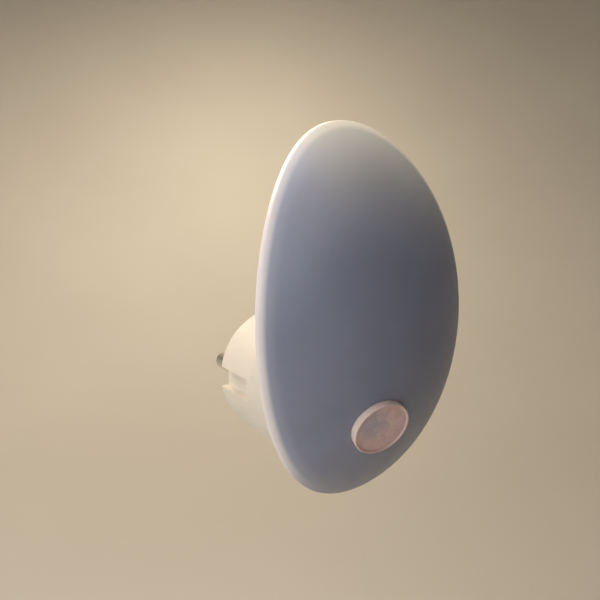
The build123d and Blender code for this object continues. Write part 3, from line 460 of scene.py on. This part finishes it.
def lens_outline(rings):
    """Radius and height along the lens cap's section: face, lip, side, flange and hollow."""
    floor = LENS_HEIGHT - LENS_RECESS
    face = [(LENS_FACE * index / rings, floor) for index in range(1, rings + 1)]
    crest = LENS_RADIUS - LENS_LIP_ROUND
    foot_out, foot_up = LENS_LIP_FOOT
    inside_out, inside_down = LENS_LIP_INSIDE
    brow_in, brow_down = LENS_LIP_BROW
    rest = [
        (LENS_FACE + foot_out, floor + foot_up), (LENS_FACE + inside_out, LENS_HEIGHT - inside_down),
        (crest - brow_in, LENS_HEIGHT - brow_down), (crest, LENS_HEIGHT),
    ]
    steps = 8
    for step in range(1, steps + 1):
        angle = math.pi / 2 * step / steps
        drop = LENS_LIP_ROUND * (1 - math.cos(angle))
        rest.append((crest + LENS_LIP_ROUND * math.sin(angle), LENS_HEIGHT - drop))
    inner = LENS_RADIUS - LENS_WALL
    rest += [
        (LENS_RADIUS, LENS_SIDE_STEP), (LENS_RADIUS, -LENS_SEAT), (LENS_FLANGE, -LENS_SEAT),
        (LENS_FLANGE, -LENS_FLANGE_BACK), (inner, -LENS_FLANGE_BACK), (inner, -LENS_HOLLOW_SHOULDER),
        (inner - LENS_HOLLOW_TAPER, LENS_HEIGHT - LENS_RECESS - LENS_WALL),
    ]
    return face, rest


def cell_edge(x, y):
    """How near a place on the lens is to the edge of its cell: 0 in a cell's middle and 1 at its edge."""
    cells = [(0.0, 0.0)]
    for index in range(LENS_RING_CELLS):
        angle = math.tau * (index + LENS_CELL_TURN) / LENS_RING_CELLS
        cells.append((LENS_CELL_RING * math.cos(angle), LENS_CELL_RING * math.sin(angle)))
    return min(1.0, min(math.hypot(x - a, y - b) for a, b in cells) / LENS_CELL_REACH)


def make_lens():
    """The sensor's lens cap: low domes, one in the middle and a ring round it, inside a thin lip."""
    turns, rings = 192, 60
    face, rest = lens_outline(rings)
    mesh = bmesh.new()
    edge = mesh.verts.layers.float.new("cell_edge")

    def corner(x, y, height, on_face):
        near = cell_edge(x, y) if on_face else 0.0
        made = mesh.verts.new((x, y, height + on_face * LENS_CELL_DEPTH * (1 - near ** 2)))
        made[edge] = near
        return made

    top = corner(0, 0, face[0][1], True)
    under = corner(0, 0, rest[-1][1], False)
    loops = []
    for index, (radius, height) in enumerate(face + rest):
        on_face = index < len(face) - 1
        angles = [math.tau * turn / turns for turn in range(turns)]
        loops.append([corner(radius * math.cos(a), radius * math.sin(a), height, on_face) for a in angles])
    for turn in range(turns):
        after = (turn + 1) % turns
        mesh.faces.new((top, loops[0][turn], loops[0][after]))
        mesh.faces.new((under, loops[-1][after], loops[-1][turn]))
        for near, far in zip(loops, loops[1:]):
            mesh.faces.new((near[turn], far[turn], far[after], near[after]))
    for part in mesh.faces:
        part.smooth = True
    out = Vector((0, -math.cos(LENS_TILT), -math.sin(LENS_TILT)))
    across = Vector((1, 0, 0))
    turn = Matrix((across, out.cross(across), out)).transposed().to_4x4()
    mesh.transform(Matrix.Translation(LENS_PLACE) @ turn)
    data = bpy.data.meshes.new("lens_cap")
    mesh.to_mesh(data)
    mesh.free()
    data.set_sharp_from_angle(angle=LENS_SHARP_ANGLE)
    return link(bpy.data.objects.new("lens_cap", data))


def area_light(name, place, target, size, power, colour):
    """A square soft light that points at a target."""
    data = bpy.data.lights.new(name, "AREA")
    data.size = size
    data.energy = power
    data.color = colour
    light = link(bpy.data.objects.new(name, data))
    light.location = place
    light.rotation_mode = "QUATERNION"
    light.rotation_quaternion = (Vector(target) - Vector(place)).to_track_quat("-Z", "Y")
    light.visible_camera = False


def make_stage():
    """A pale floor that curves up into a round wall all round the light, far from it."""
    section = [(FLOOR_REACH * step / FLAT_STEPS, FLOOR_LEVEL) for step in range(1, FLAT_STEPS + 1)]
    for step in range(1, BEND_STEPS + 1):
        angle = math.pi / 2 * step / BEND_STEPS
        rise = BEND_RADIUS * (1 - math.cos(angle))
        section.append((FLOOR_REACH + BEND_RADIUS * math.sin(angle), FLOOR_LEVEL + rise))
    section.append((FLOOR_REACH + BEND_RADIUS, WALL_TOP))
    mesh = bmesh.new()
    centre = mesh.verts.new((0, 0, FLOOR_LEVEL))
    loops = []
    for radius, height in section:
        angles = [math.tau * turn / STAGE_TURNS for turn in range(STAGE_TURNS)]
        loops.append([mesh.verts.new((radius * math.cos(a), radius * math.sin(a), height)) for a in angles])
    for turn in range(STAGE_TURNS):
        after = (turn + 1) % STAGE_TURNS
        mesh.faces.new((centre, loops[0][turn], loops[0][after]))
        for near, far in zip(loops, loops[1:]):
            mesh.faces.new((near[turn], far[turn], far[after], near[after]))
    for part in mesh.faces:
        part.smooth = True
    data = bpy.data.meshes.new("floor")
    mesh.to_mesh(data)
    mesh.free()
    stage = link(bpy.data.objects.new("floor", data))
    look = Look("floor_paint", Roughness=0.8, Specular_IOR_Level=0.2)
    look.set("Base Color", look.ramp(look.noise(FLOOR_GRAIN), (0.71, 0.67, 0.615), (0.73, 0.69, 0.635)))
    data.materials.append(look.material)


def make_lights():
    """A dim cool world, four lights round the night light and three on the stage."""
    world = bpy.data.worlds.new("studio")
    world.use_nodes = True
    background = world.node_tree.nodes["Background"]
    background.inputs["Color"].default_value = (*WORLD_COLOUR, 1.0)
    background.inputs["Strength"].default_value = WORLD_STRENGTH
    bpy.context.scene.world = world
    bpy.context.scene.view_settings.view_transform = "Standard"
    for row in LIGHTS:
        area_light(*row)


make_camera()
looks = make_looks()
lens = make_lens()
lens.data.materials.append(looks["lens_milky"].material)
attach(lens, "lamp")
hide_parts("sensor_lens")
make_stage()
make_lights()
